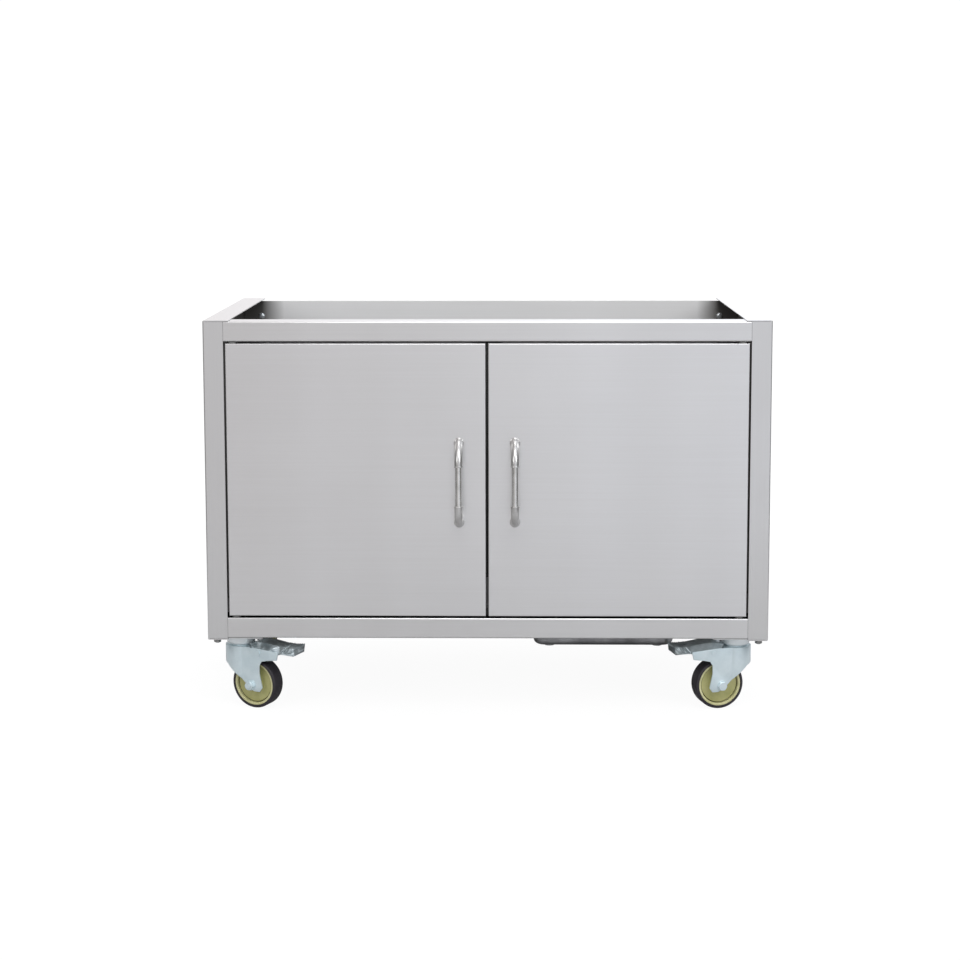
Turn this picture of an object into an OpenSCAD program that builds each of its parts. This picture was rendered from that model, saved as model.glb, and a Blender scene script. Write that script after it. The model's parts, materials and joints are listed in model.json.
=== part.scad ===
// Grill base cabinet: a folded stainless steel cabinet with two hinged doors, on four braked casters.
// X runs to the right, Y to the back and Z up. The origin is on the floor, under the middle of the
// whole part. Inside the modules Y starts at the front face and Z at the bottom edge of the side panels.

/* [Cabinet body] */
// Width over the side panels
body_w = 890; // [860:5:1000]
// Depth from the front face to the rear face
body_d = 450; // [440:5:560]
// Height of the side panels
body_h = 510; // [480:5:640]
// Thickness of the folded sheet of the frame
sheet_t = 1.5; // [1.2:0.1:1.8]
// Outer radius of its bends
bend_r = 2.5; // [2.2:0.1:3.5]
// Width of the front stiles
stile_w = 32; // [30:1:36]
// Width of the rear returns of the side panels
return_w = 46; // [44:1:60]
// Width of the flanges that carry the grill
top_flange_w = 40; // [34:1:44]
// Width of the flanges that carry the casters
base_flange_w = 86; // [86:1:100]
// Width of the slits that part two folds at a corner
slit = 0.4; // [0.2:0.1:0.8]
// Thickness of the back panel
back_t = 1.2; // [1:0.1:1.4]
// Distance of the back panel's top edge below the top of the side panels
back_drop = 5; // [4:0.5:12]
// Width of the back panel's bottom flange
back_flange_w = 16; // [15:0.5:16]

/* [Front rails] */
// Height of the top rail's face
top_rail_h = 31.5; // [30:0.5:40]
// Depth of the top rail
top_rail_d = 40; // [39:1:44]
// Height of the bottom rail's face
bottom_rail_h = 33; // [31:0.5:36]
// Depth of the bottom rail
bottom_rail_d = 38; // [37:1:41]

/* [Floor panel] */
// Distance of the floor panel's front edge from the front face
floor_setback = 12; // [10:1:16]
// Height of its upstands at the side panels
upstand_h = 15; // [8:1:20]

/* [Tank pan] */
// Width and depth of the pan
pan_w = 230; // [200:5:240]
// Radius of its corners
pan_r = 18; // [14:1:24]
// Distance of the pan's underside below the side panels
pan_drop = 38; // [30:1:44]
// Radius round its bottom
pan_fillet = 9; // [5:0.5:12]
// Thickness of the pan's sheet
pan_t = 1.2; // [1:0.1:1.5]
// Width of the rim that hangs on the floor panel
pan_rim_w = 15; // [14:1:20]
// Place of the pan's middle to the right of the cabinet's middle
pan_x = 190; // [180:5:195]

/* [Doors] */
// Gap between a door and its stile
door_side_gap = 2.8; // [2.6:0.1:3.5]
// Gap between the two doors
door_centre_gap = 3.9; // [3:0.1:5]
// Gap above and below the doors
door_end_gap = 3; // [3:0.1:4]
// Thickness of a door
door_t = 20; // [18:0.5:22]
// Thickness of its sheets
door_sheet_t = 1; // [0.8:0.1:1.2]
// Distance of the pivot axis from the door's outer edge
pivot_inset = 11; // [10.5:0.5:14]
// Distance of the pivot axis behind the front face
pivot_y = 7; // [6.8:0.1:8]
// Radius of the pivot pins
pivot_r = 3; // [2.5:0.1:3]

/* [Handles] */
// Distance of a handle from the cabinet's middle
handle_x = 44; // [36:1:60]
// Height of the handles' middle above the bottom edge
handle_z = 254; // [220:1:300]
// Distance between the two fixing points of a handle
handle_centres = 126.5; // [110:0.5:160]
// Distance of the rod's axis from the door
handle_reach = 38; // [36:1:45]
// Radius of the rod
rod_r = 5.1; // [4.5:0.1:5.5]
// Radius of the cast ends
handle_end_r = 6.3; // [6.1:0.1:6.7]
// Bend radius of the cast ends
elbow_r = 30; // [22:1:32]

/* [Casters] */
// Height of the side panels above the floor
caster_h = 119; // [116:1:122]
// Distance of the kingpins from the outer faces
kingpin_inset = 46; // [46:0.5:50]
// Distance of the kingpins from the front and rear faces
kingpin_y = 50; // [50:0.5:60]
// Wheel radius
wheel_r = 40; // [38:0.5:41]
// Half of the tyre's width
tyre_half_w = 13.5; // [12:0.5:14]
// Horizontal distance from the kingpin to the wheel's axle
trail = 30.5; // [29:0.5:32]
// Direction in which the front left caster trails
front_left_yaw = -24; // [-180:1:180]
// Direction in which the front right caster trails
front_right_yaw = 195; // [0:1:360]
// Direction in which the rear casters trail
rear_yaw = -90; // [-180:1:180]
// Length of the caster plate
plate_l = 77; // [77:0.5:80]
// Width of the caster plate
plate_w = 64; // [60:0.5:65]
// Thickness of the caster plate
plate_t = 3; // [2.5:0.1:3]
// Distance between its holes along the plate
plate_hole_l = 61; // [60:0.5:62]
// Distance between its holes across the plate
plate_hole_w = 46; // [45:0.5:47]
// Thickness of the fork's sheet
fork_t = 2.5; // [2:0.1:2.8]
// Half of the width over the fork's legs
fork_half_w = 21; // [20.8:0.1:21.4]

/* [Fasteners] */
// Radius of the caster plate bolts
plate_bolt_r = 4; // [3.5:0.1:4]
// Radius of the back panel bolts and floor bolts
bolt_r = 3; // [2.8:0.1:3]
// Radius of the wheel axle bolts
axle_r = 4; // [3.6:0.1:4]
// Radius of the tank pan screws
pan_screw_r = 2; // [1.5:0.1:2]
// Number of back panel bolts on each side
back_bolt_count = 4; // [2:1:6]

/* [Hidden] */
$fn = 64;

// Colours
stainless = [0.76, 0.76, 0.75];
stainless_dark = [0.62, 0.62, 0.62];
zinc = [0.72, 0.76, 0.78];
pressed_dark = [0.32, 0.33, 0.34];
nylon = [0.9, 0.9, 0.88];
tyre_black = [0.19, 0.17, 0.19];
hub_olive = [0.55, 0.54, 0.35];

// Running clearance on radius, and the clearance of a bolt in its hole
running_gap = 0.06;
bolt_gap = 0.3;
// How far a cutting shape reaches past what it cuts
over = 1;

// Cabinet body
half_w = body_w / 2;
inner_half_w = half_w - bend_r;
rail_gap = 0.4;
rail_half_w = half_w - stile_w - rail_gap;
floor_z = 2 * sheet_t;
rail_top_z = body_h - sheet_t;
top_rail_z = rail_top_z - top_rail_h;
bottom_rail_z = floor_z;
bottom_rail_top = bottom_rail_z + bottom_rail_h;
back_front_y = body_d - sheet_t - back_t;
hem_h = 12;
bolt_head_r = 5.75;
bolt_head_h = 3.3;
nut_af = 10;
nut_h = 5;
thread_end = 1.5;
back_bolt_inset = 34;
back_bolt_x = half_w - back_bolt_inset;
back_bolt_low = 30;
back_bolt_drop = 32;
back_bolt_pitch = (body_h - back_bolt_low - back_bolt_drop) / (back_bolt_count - 1);
back_bolt_z = [for (i = [0 : back_bolt_count - 1]) back_bolt_low + i * back_bolt_pitch];
floor_bolt_x = half_w - 14;
floor_bolt_y = [10, body_d - 10];
flange_nut_h = 6;
base_setback = 8;

// Doors
door_x = door_centre_gap / 2;
door_w = half_w - stile_w - door_side_gap - door_x;
door_z = bottom_rail_top + door_end_gap;
door_h = top_rail_z - door_end_gap - door_z;
pivot_x = door_x + door_w - pivot_inset;
door_edge_r = 1.6;
liner_y = 11;
bush_r = 4.5;
bush_flange_r = 6.5;
bush_depth = 5;
pivot_plate = [20, 9, 2.5];
pivot_plate_y = 1.5;

// Catches
catch_l = 46;
catch_y = 22;
catch_d = 14;
catch_h = 12;
magnet_l = 15;
strike_t = 1.5;
strike_l = 20;
strike_h = 11;

// Handles
half_centres = handle_centres / 2;
rod_half_l = half_centres - elbow_r;
ring_r = 6.9;
ring_l = 2.5;
rosette_r = 8.6;
rosette_t = 3;
handle_screw_r = 2.5;
handle_screw_head = [4.5, 2.8];
handle_screw_depth = 13;

// Casters
kingpin_x = half_w - kingpin_inset;
rear_kingpin_y = body_d - kingpin_y;
axle_z = wheel_r - caster_h;
kingpin_r = 6;
race_r = 23;
race_bottom = -16.5;
crown_z = -18;
crown_front = 27;
crown_r = 25;
leg_inner = fork_half_w - fork_t;
leg_boss_r = 8;
leg_boss_t = 1;
sleeve_r = 6;
tyre_t = 4.8;
hub_r = wheel_r - tyre_t;
hub_boss_r = 11;
hub_rim_r = hub_r - 3.8;
hub_groove_r = hub_rim_r - 1.4;
hub_disc_y = 8;
hub_groove_y = 6.5;
hub_rim_y = 12.2;
tyre_shoulder = 4;
pedal_pin = [44, -25.5];
pedal_pin_r = 2.5;
pedal_half_w = 15;
paddle_half_w = 17;
pedal_t = 2;
carriage_head_r = 7;
carriage_head_h = 3;
plate_nut_af = 13;
plate_nut_h = 6.5;

// Side view of a fork leg, from the kingpin axis toward the pedal
leg_outline = [
    [-26, crown_z], [-26, -44], [-18, -46], [-12, -48], [12, -69], [26, -83], [36, -89], [46, -89],
    [51, -82], [46, -59], [46, -46], [50, -39], [60, -36.5], [78, -34], [81, -21.5], [38, -17.5],
    [28, crown_z]
];
// Top line of the pedal's channel, and the lower edge of its side walls
pedal_top = [[26, -13], [34, -10.5], [42, -9], [56, -9], [94, -14], [109, -12.5]];
pedal_edge = [[107.5, -25], [84, -24.5], [72, -25.5], [56, -31], [38, -31], [29, -19]];
paddle_x = 82;
paddle_side_z = -24.4;
pedal_hole = [86, 5.5];
shoe_x = 50;
shoe_bottom = axle_z + wheel_r - 1;
tread_count = 6;
tread_start = 90;
tread_pitch = 3.4;
tread_w = 1.6;
tread_h = 0.9;
tread_side = [7.2, 9];
// How far the shapes that cut the fork run toward the pedal
leg_run = 100;

// The origin is under the middle of the box that holds the closed cabinet
front_reach = handle_reach + ring_r;
rear_reach = nut_h + thread_end;
y_shift = (front_reach - body_d - rear_reach) / 2;

// Places and repeats
module placed() {
    translate([0, y_shift, caster_h]) children();
}
module both_sides() {
    children();
    mirror([1, 0, 0]) children();
}
module caster_at(x, y, yaw) {
    placed() translate([x, y, 0]) rotate(yaw) children();
}
module front_left(yaw = front_left_yaw) {
    caster_at(-kingpin_x, kingpin_y, yaw) children();
}
module front_right(yaw = front_right_yaw) {
    caster_at(kingpin_x, kingpin_y, yaw) children();
}
module rear_left(yaw = rear_yaw) {
    caster_at(-kingpin_x, rear_kingpin_y, yaw) children();
}
module rear_right(yaw = rear_yaw) {
    caster_at(kingpin_x, rear_kingpin_y, yaw) children();
}
module left_hand() {
    placed() mirror([1, 0, 0]) children();
}
module right_hand() {
    placed() children();
}

// Block with its first axis along X, its profile's x along Y and y along Z
module along_x(length) {
    rotate([90, 0, 90]) linear_extrude(length, center = true) children();
}
// Profile drawn in x and z, run across Y
module across_y(half) {
    translate([0, half, 0]) rotate([90, 0, 0]) linear_extrude(2 * half) children();
}
// Rectangle d by h with its two corners at x = 0 rounded
module front_round(d, h, r) {
    translate([r, 0]) square([d - r, h]);
    translate([0, r]) square([2 * r, h - 2 * r]);
    for (y = [r, h - r]) translate([r, y]) circle(r);
}
// Block w by d by h with its four front edges rounded
module fold_block(w, d, h, r) {
    intersection() {
        linear_extrude(h) mirror([1, -1, 0]) front_round(d, w, r);
        rotate([90, 0, 90]) linear_extrude(w) front_round(d, h, r);
    }
}
// Square with round corners, about the origin
module round_square(w, r) {
    square([w - 2 * r, w], center = true);
    square([w, w - 2 * r], center = true);
    for (x = [-1, 1], y = [-1, 1]) translate([x * (w / 2 - r), y * (w / 2 - r)]) circle(r);
}
module drill(r, depth) {
    translate([0, 0, -over]) cylinder(h = depth + 2 * over, r = r);
}

// Fastener shapes, with the head's seat at z = 0 and the head above it
module domed_head(r, h) {
    sphere_r = (r * r + h * h) / (2 * h);
    intersection() {
        cylinder(h = h, r = r);
        translate([0, 0, h - sphere_r]) sphere(sphere_r);
    }
}
module domed_bolt(r, head_r, head_h, length) {
    domed_head(head_r, head_h);
    translate([0, 0, -length]) cylinder(h = length + head_h / 2, r = r);
}
module hex_block(af, h) {
    intersection() {
        cylinder(h = h, r = af / sqrt(3), $fn = 6);
        translate([0, 0, -af]) cylinder(h = af + h, r1 = af / 2 + af + h - 0.4, r2 = af / 2 - 0.1);
    }
}
module hex_nut(af, h, r) {
    difference() {
        hex_block(af, h);
        drill(r + 0.05, h);
    }
}

// Places of repeated holes and fasteners
module at_back_bolts() {
    for (side = [-1, 1], z = back_bolt_z) translate([side * back_bolt_x, body_d, z]) children();
}
module at_floor_bolts(rows = floor_bolt_y) {
    for (side = [-1, 1], y = rows) translate([side * floor_bolt_x, y, 0]) children();
}
module at_plate_holes() {
    for (x = [-1, 1], y = [-1, 1]) translate([x * plate_hole_l / 2, y * plate_hole_w / 2, 0]) children();
}
module at_casters() {
    for (side = [-1, 1], y = [kingpin_y, rear_kingpin_y]) translate([side * kingpin_x, y, 0]) children();
}
module at_pan_screws() {
    reach = pan_w / 2 + pan_rim_w / 2;
    for (turn = [0 : 90 : 270], side = [-1, 1])
        translate([pan_x, body_d / 2, 0]) rotate(turn) translate([reach, side * pan_w / 4, 0]) children();
}
module at_pivots() {
    translate([pivot_x, pivot_y, 0]) children();
}
module at_handle_ends() {
    for (side = [-1, 1]) translate([handle_x, 0, handle_z + side * half_centres]) children();
}

// Side panel: wall, front stile, rear return, top flange and bottom flange from one sheet
module left_panel() {
    color(stainless) difference() {
        translate([-half_w, 0, 0]) difference() {
            mirror([1, -1, 0]) fold_block(body_d, base_flange_w, body_h, bend_r);
            translate([sheet_t, sheet_t, sheet_t]) mirror([1, -1, 0])
                fold_block(body_d - 2 * sheet_t, base_flange_w, body_h - 2 * sheet_t, bend_r - sheet_t);
            translate([stile_w, -over, sheet_t])
                cube([base_flange_w, over + sheet_t, body_h - 2 * sheet_t]);
            translate([return_w, body_d - sheet_t, sheet_t])
                cube([base_flange_w, over + sheet_t, body_h - 2 * sheet_t]);
            translate([top_flange_w, -over, body_h - sheet_t])
                cube([base_flange_w, body_d + 2 * over, over + sheet_t]);
            translate([bend_r + 1, body_d - sheet_t, body_h - back_drop - slit])
                cube([base_flange_w, over + sheet_t, back_drop + slit - sheet_t]);
            translate([stile_w, -over, -over]) cube([base_flange_w, over + base_setback, over + sheet_t]);
            for (y = [-over, body_d - sheet_t], z = [sheet_t, body_h - sheet_t - slit])
                translate([bend_r + 1, y, z]) cube([base_flange_w, over + sheet_t, slit]);
        }
        at_floor_bolts() drill(bolt_r + bolt_gap, sheet_t);
        at_casters() at_plate_holes() drill(plate_bolt_r + bolt_gap, sheet_t);
        at_back_bolts() rotate([90, 0, 0]) drill(bolt_r + bolt_gap, sheet_t);
    }
}

// Back panel with a hem behind its top edge and a flange on the floor panel
module back_panel() {
    panel_h = body_h - back_drop - floor_z;
    placed() color(stainless) difference() {
        union() {
            translate([0, body_d - sheet_t, floor_z]) mirror([0, 1, 0]) along_x(2 * inner_half_w)
                back_profile(panel_h);
            translate([-half_w + return_w + 1, body_d - sheet_t - 0.2, floor_z + panel_h - hem_h])
                cube([body_w - 2 * return_w - 2, back_t + 0.2, hem_h]);
        }
        at_back_bolts() translate([0, -sheet_t, 0]) rotate([90, 0, 0]) drill(bolt_r + bolt_gap, back_t);
        at_floor_bolts([floor_bolt_y[1]]) translate([0, 0, floor_z]) drill(bolt_r + bolt_gap, back_t);
    }
}
module back_profile(h) {
    difference() {
        corner_round(back_flange_w, h, bend_r);
        translate([back_t, back_t]) corner_round(back_flange_w, h, bend_r - back_t);
    }
}
// Rectangle with its corner at the origin rounded
module corner_round(d, h, r) {
    translate([r, 0]) square([d - r, h]);
    translate([0, r]) square([2 * r, h - r]);
    translate([r, r]) circle(r);
}

// Floor panel with upstands at the side panels and the opening for the tank pan
module floor_panel() {
    upstand_y = top_rail_d;
    placed() color(stainless_dark) difference() {
        union() {
            translate([-inner_half_w, floor_setback, sheet_t])
                cube([2 * inner_half_w, body_d - sheet_t - floor_setback, sheet_t]);
            both_sides() {
                translate([rail_half_w, sheet_t, sheet_t])
                    cube([inner_half_w - rail_half_w, floor_setback, sheet_t]);
                translate([inner_half_w - sheet_t, upstand_y, sheet_t])
                    cube([sheet_t, body_d - upstand_y - 2 * back_flange_w, sheet_t + upstand_h]);
            }
        }
        translate([pan_x, body_d / 2, 0]) linear_extrude(floor_z + over) round_square(pan_w + 2, pan_r + 1);
        at_floor_bolts() drill(bolt_r + bolt_gap, floor_z);
        at_casters() at_plate_holes() drill(plate_bolt_r + bolt_gap, floor_z);
        at_pan_screws() drill(pan_screw_r + 0.2, floor_z);
    }
}

// Channel with its back open: a face with an upper and a lower return
module channel(d, h) {
    difference() {
        front_round(d, h, bend_r);
        translate([sheet_t, sheet_t]) front_round(d, h - 2 * sheet_t, bend_r - sheet_t);
    }
}
// Front rail: its face lies between the stiles and its ends are set back behind them
module rail(d, h) {
    tab = inner_half_w - rail_half_w + sheet_t;
    along_x(2 * rail_half_w) channel(d, h);
    both_sides() translate([inner_half_w - tab / 2, sheet_t, 0]) along_x(tab) channel(d - sheet_t, h);
}
module front_top_rail() {
    placed() color(stainless) difference() {
        translate([0, 0, top_rail_z]) rail(top_rail_d, top_rail_h);
        both_sides() at_pivots() translate([0, 0, top_rail_z]) drill(bush_r + 0.05, sheet_t);
    }
}
module front_bottom_rail() {
    placed() color(stainless) difference() {
        translate([0, 0, bottom_rail_z]) rail(bottom_rail_d, bottom_rail_h);
        both_sides() at_pivots() translate([0, 0, bottom_rail_top - sheet_t])
            drill(bush_r + 0.05, sheet_t);
        at_floor_bolts([floor_bolt_y[0]]) translate([0, 0, bottom_rail_z]) drill(bolt_r + bolt_gap, sheet_t);
        at_casters() at_plate_holes() drill(plate_bolt_r + bolt_gap, floor_z + sheet_t);
    }
}

// Pressed pan that hangs in the floor panel and holds the gas cylinder
module pan_edge(reach, depth, r) {
    translate([0, -depth]) square([reach - r, depth]);
    translate([0, r - depth]) square([reach, depth - r]);
    translate([reach - r, r - depth]) circle(r);
}
module pan_block(w, r, depth, fillet) {
    for (turn = [0, 90]) rotate(turn) along_x(w - 2 * r) {
        pan_edge(w / 2, depth, fillet);
        mirror([1, 0]) pan_edge(w / 2, depth, fillet);
    }
    for (turn = [0 : 90 : 270]) rotate(turn) translate([w / 2 - r, w / 2 - r, 0])
        rotate_extrude(angle = 90) intersection() {
            pan_edge(r, depth, fillet);
            translate([0, -depth]) square([r, depth]);
        }
}
module tank_pan() {
    depth = pan_drop + floor_z + pan_t;
    skid = [16, 196, 2];
    placed() color(pressed_dark) translate([pan_x, body_d / 2, floor_z + pan_t]) difference() {
        union() {
            translate([0, 0, -pan_t]) linear_extrude(pan_t)
                round_square(pan_w + 2 * pan_rim_w, pan_r + pan_rim_w);
            pan_block(pan_w, pan_r, depth, pan_fillet);
            for (side = [-1, 1]) translate([side * (pan_w / 2 - 26), 0, -depth - skid.z])
                linear_extrude(skid.z + pan_t / 2) {
                    square([skid.x, skid.y], center = true);
                    for (end = [-1, 1]) translate([0, end * skid.y / 2]) circle(skid.x / 2);
                }
        }
        pan_block(pan_w - 2 * pan_t, pan_r - pan_t, depth - pan_t, pan_fillet - pan_t);
        translate([-pan_x, -body_d / 2, -pan_t]) at_pan_screws() drill(pan_screw_r + 0.2, pan_t);
    }
}
module pan_screws() {
    placed() color(zinc) at_pan_screws() {
        translate([0, 0, floor_z + pan_t]) domed_bolt(pan_screw_r, 3.8, 2.2, floor_z + pan_t + 3.5);
        translate([0, 0, sheet_t - 3.2]) hex_nut(7, 3.2, pan_screw_r);
    }
}

// Fasteners of the body
module back_panel_bolts() {
    grip = sheet_t + back_t;
    placed() color(zinc) at_back_bolts() translate([0, -grip, 0]) rotate([90, 0, 0])
        domed_bolt(bolt_r, bolt_head_r, bolt_head_h, grip + nut_h + thread_end);
}
module back_panel_nuts() {
    placed() color(zinc) at_back_bolts() rotate([-90, 0, 0]) hex_nut(nut_af, nut_h, bolt_r);
}
module floor_bolts() {
    placed() color(zinc) {
        at_floor_bolts([floor_bolt_y[0]]) floor_bolt(floor_z + sheet_t);
        at_floor_bolts([floor_bolt_y[1]]) floor_bolt(floor_z + back_t);
    }
}
module floor_bolt(grip) {
    translate([0, 0, grip]) domed_bolt(bolt_r, bolt_head_r, bolt_head_h, grip + flange_nut_h + 1);
}
module floor_flange_nuts() {
    flange_r = 7.1;
    flange_t = 1.4;
    placed() color(zinc) at_floor_bolts() mirror([0, 0, 1]) difference() {
        union() {
            cylinder(h = flange_t, r = flange_r);
            hex_block(nut_af, flange_nut_h);
        }
        drill(bolt_r + 0.05, flange_nut_h);
    }
}

// Nylon bushes for the pivot pins of the doors, with their flanges in the gaps
module bush(flange_t) {
    difference() {
        union() {
            translate([0, 0, -flange_t]) cylinder(h = flange_t, r = bush_flange_r);
            cylinder(h = bush_depth, r = bush_r);
        }
        translate([0, 0, -flange_t]) drill(pivot_r + 0.08, bush_depth + flange_t);
    }
}
module hinge_bushes() {
    placed() color(nylon) both_sides() at_pivots() {
        translate([0, 0, top_rail_z]) bush(door_end_gap - 0.2);
        translate([0, 0, bottom_rail_top]) mirror([0, 0, 1]) bush(door_end_gap - 0.1);
    }
}

// Magnetic catches behind the gap between the doors, with one magnet for each door
module at_catches() {
    translate([0, catch_y, bottom_rail_top]) children();
    translate([0, catch_y, top_rail_z]) mirror([0, 0, 1]) children();
}
module magnet_block(grow) {
    both_sides() translate([4 - grow, -0.3, 4 - grow])
        cube([magnet_l + 2 * grow, 6.3 + grow, 6 + 2 * grow]);
}
module catch_housings() {
    placed() color(nylon) at_catches() difference() {
        translate([-catch_l / 2, 0, 0]) cube([catch_l, catch_d, catch_h]);
        magnet_block(0.1);
    }
}
module catch_magnets() {
    placed() color(pressed_dark) at_catches() magnet_block(0);
}

// Door parts, drawn for the right door
module door_skin() {
    inset = door_sheet_t;
    color(stainless) difference() {
        translate([door_x, 0, door_z]) difference() {
            fold_block(door_w, door_t, door_h, door_edge_r);
            translate([inset, inset, inset])
                fold_block(door_w - 2 * inset, door_t, door_h - 2 * inset, door_edge_r - inset);
        }
        at_pivots() translate([0, 0, door_z]) drill(pivot_r + 0.1, door_h);
        at_handle_ends() rotate([-90, 0, 0]) drill(handle_screw_r + 0.2, inset);
    }
}
module door_liner() {
    inset = door_sheet_t;
    liner_w = door_w - 2 * inset;
    liner_h = door_h - 2 * inset;
    color(stainless_dark) difference() {
        translate([door_x + inset, liner_y, door_z + inset]) difference() {
            cube([liner_w, door_t - liner_y, liner_h]);
            translate([inset, -over, inset])
                cube([liner_w - 2 * inset, door_t - liner_y - inset + over, liner_h - 2 * inset]);
        }
        at_handle_ends() translate([0, door_t - inset, 0]) rotate([-90, 0, 0]) drill(7, inset);
    }
}
module door_pivots() {
    plate = pivot_plate;
    color(zinc) for (end = [0, 1]) translate([0, 0, end * (2 * door_z + door_h)]) mirror([0, 0, end])
        at_pivots() translate([0, 0, door_z]) {
            translate([-plate.x / 2, pivot_plate_y - pivot_y, door_sheet_t]) cube(plate);
            translate([0, 0, -door_end_gap - bush_depth])
                cylinder(h = door_end_gap + bush_depth + door_sheet_t + plate.z, r = pivot_r);
        }
}
module door_strikes() {
    color(zinc) for (z = [door_z + 1, door_z + door_h - 1 - strike_h])
        translate([door_x + 1.5, door_t, z]) cube([strike_l, strike_t, strike_h]);
}

// Handle: a rod between two cast ends that bend down to round feet on the door
module handle_rod() {
    color(stainless) translate([handle_x, -handle_reach, handle_z - rod_half_l])
        cylinder(h = 2 * rod_half_l, r = rod_r);
}
module handle_end() {
    neck = handle_reach - elbow_r;
    difference() {
        union() {
            rotate([90, 0, 0]) cylinder(h = rosette_t, r = rosette_r);
            translate([0, -rosette_t, 0]) rotate([90, 0, 0])
                cylinder(h = neck - rosette_t, r1 = rosette_r, r2 = handle_end_r);
            rotate([90, 0, 0]) cylinder(h = neck, r = handle_end_r);
            translate([0, -neck, -elbow_r]) rotate([0, -90, 180]) rotate_extrude(angle = 90)
                translate([elbow_r, 0]) circle(handle_end_r);
            translate([0, -handle_reach, -elbow_r - ring_l]) cylinder(h = ring_l, r = ring_r);
        }
        translate([0, -handle_reach, -elbow_r - ring_l - over])
            cylinder(h = ring_l + over, r = rod_r + 0.02);
        rotate([90, 0, 0]) translate([0, 0, -over])
            cylinder(h = over + handle_screw_depth + 1, r = handle_screw_r + 0.02);
    }
}
module handle_ends() {
    color(stainless) translate([handle_x, 0, handle_z]) for (end = [0, 1]) mirror([0, 0, end])
        translate([0, 0, half_centres]) handle_end();
}
module handle_screws() {
    color(zinc) at_handle_ends() translate([0, door_sheet_t, 0]) rotate([-90, 0, 0])
        domed_bolt(handle_screw_r, handle_screw_head.x, handle_screw_head.y,
                   door_sheet_t + handle_screw_depth);
}

// Caster plate with the ball race pressed into it
module caster_plate() {
    color(zinc) difference() {
        union() {
            translate([-plate_l / 2, -plate_w / 2, -plate_t]) linear_extrude(plate_t) plate_outline();
            rotate_extrude() race_profile();
        }
        at_plate_holes() translate([0, 0, -plate_t]) drill(plate_bolt_r + bolt_gap, plate_t);
        translate([0, 0, race_bottom]) drill(kingpin_r + 0.02, -race_bottom);
    }
}
module plate_outline() {
    corner = 7;
    translate([corner, 0]) square([plate_l - 2 * corner, plate_w]);
    translate([0, corner]) square([plate_l, plate_w - 2 * corner]);
    for (x = [corner, plate_l - corner], y = [corner, plate_w - corner])
        translate([x, y]) circle(corner);
}
module race_profile() {
    round_r = 5;
    depth = -race_bottom;
    translate([0, -depth]) square([race_r - round_r, depth - plate_t / 2]);
    translate([0, round_r - depth]) square([race_r, depth - round_r - plate_t / 2]);
    translate([race_r - round_r, round_r - depth]) circle(round_r);
}
module caster_kingpins() {
    head_z = crown_z - fork_t - 0.3;
    placed() color(zinc) at_casters() {
        translate([0, 0, head_z - 3.5]) cylinder(h = 3.5, r = 10);
        translate([0, 0, head_z - 0.1]) cylinder(h = -head_z - 0.4, r = kingpin_r);
    }
}
module caster_plate_bolts() {
    length = plate_t + floor_z + sheet_t + plate_nut_h + 2;
    placed() color(zinc) at_casters() at_plate_holes() translate([0, 0, -plate_t]) mirror([0, 0, 1])
        domed_bolt(plate_bolt_r, carriage_head_r, carriage_head_h, length);
}
// The nuts stand on the floor panel, or on the bottom rail's return where that covers it
function nut_seat(y) = y < bottom_rail_d ? floor_z + sheet_t : floor_z;
module caster_plate_nuts() {
    nut_x = [for (side = [-1, 1], end = [-1, 1]) side * kingpin_x + end * plate_hole_l / 2];
    nut_y = [for (caster_y = [kingpin_y, rear_kingpin_y], row = [-1, 1]) caster_y + row * plate_hole_w / 2];
    placed() color(zinc) for (x = nut_x, y = nut_y)
        translate([x, y, nut_seat(y)]) hex_nut(plate_nut_af, plate_nut_h, plate_bolt_r);
}

// Fork: a crown with a skirt that runs out into two legs
module fork_plan(half, r) {
    circle(r);
    translate([0, -half]) square([leg_run, 2 * half]);
}
module fork() {
    wall_h = 80;
    color(zinc) difference() {
        union() {
            intersection() {
                across_y(crown_r + over) polygon(leg_outline);
                translate([0, 0, crown_z - wall_h]) linear_extrude(wall_h + over)
                    fork_plan(fork_half_w, crown_r);
            }
            translate([0, 0, crown_z - 0.2]) cylinder(h = race_bottom - 0.1 - crown_z + 0.2, r = 19);
            translate([trail, 0, axle_z]) across_y(fork_half_w + leg_boss_t) circle(leg_boss_r);
        }
        translate([0, 0, crown_z - fork_t - wall_h]) linear_extrude(wall_h)
            fork_plan(leg_inner, crown_r - fork_t);
        translate([crown_front, -leg_inner, crown_z - wall_h])
            cube([leg_run, 2 * leg_inner, wall_h + 2 * over]);
        translate([trail, 0, axle_z]) across_y(fork_half_w + 2 * over) circle(axle_r + 0.05);
        translate([pedal_pin.x, 0, pedal_pin.y]) across_y(fork_half_w + over) circle(pedal_pin_r + 0.05);
        translate([0, 0, crown_z - fork_t]) drill(kingpin_r + running_gap, fork_t + over);
    }
}

// Axle: a bolt through the legs with a sleeve for the hub, a washer and a nut
module axle() {
    head_seat = fork_half_w + leg_boss_t;
    washer_t = 1.2;
    tail = 1 + washer_t + plate_nut_h + thread_end;
    color(zinc) translate([trail, 0, axle_z]) {
        across_y(head_seat) circle(axle_r);
        translate([0, head_seat, 0]) rotate([-90, 0, 0]) hex_block(plate_nut_af, 5.3);
        translate([0, head_seat + 1, 0]) rotate([90, 0, 0]) cylinder(h = 2 * head_seat + tail, r = axle_r);
        across_y(leg_inner) difference() {
            circle(sleeve_r);
            circle(axle_r + 0.05);
        }
        translate([0, -head_seat, 0]) rotate([90, 0, 0]) difference() {
            union() {
                cylinder(h = washer_t, r = 8.4);
                translate([0, 0, washer_t]) hex_block(plate_nut_af, plate_nut_h);
            }
            drill(axle_r + 0.05, washer_t + plate_nut_h);
        }
    }
}

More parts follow.
